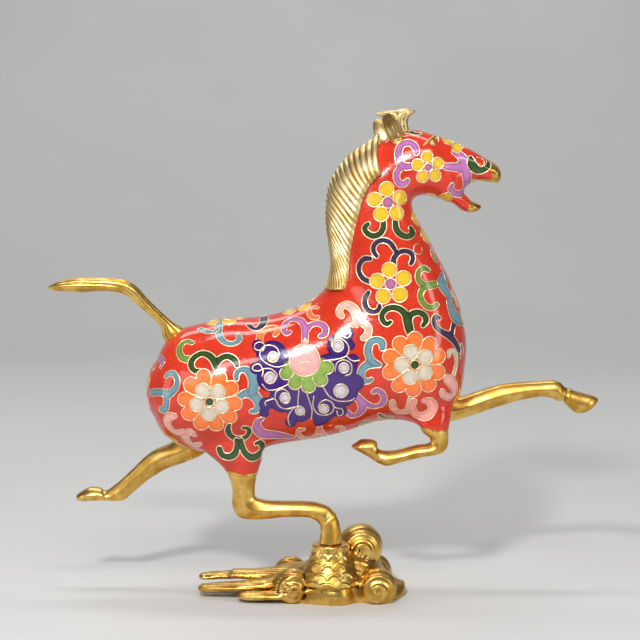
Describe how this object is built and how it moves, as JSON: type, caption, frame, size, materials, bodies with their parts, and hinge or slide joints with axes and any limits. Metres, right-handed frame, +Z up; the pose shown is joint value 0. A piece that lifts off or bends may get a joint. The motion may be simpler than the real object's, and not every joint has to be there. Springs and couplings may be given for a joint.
{
  "type": "cloisonne horse figurine",
  "caption": "Galloping horse figurine in enamelled copper with gilt mane, legs and tail, standing with one hoof on a gilt bank of scrolled clouds.",
  "frame": {"origin": "middle of the cloud base's flat underside", "axes": "+X the way the horse faces, along its length; +Z up, away from the underside; +Y to the horse's left"},
  "size_m": [0.2239, 0.0514, 0.1979],
  "materials": {
    "enamel": "polished vermilion enamel with coloured flowers and scrolls between fine gilt wires",
    "gilding": "worn gilding on cast metal, bright on the high parts and darker in the hollows"
  },
  "bodies": {
    "root": {"body": "enamel", "mane": "gilding", "forelock": "gilding", "ear_right": "gilding", "ear_left": "gilding", "tail": "gilding", "leg_hind_right": "gilding", "leg_hind_left": "gilding", "leg_front_left": "gilding", "leg_front_right": "gilding", "base": "gilding"}
  },
  "joints": []
}
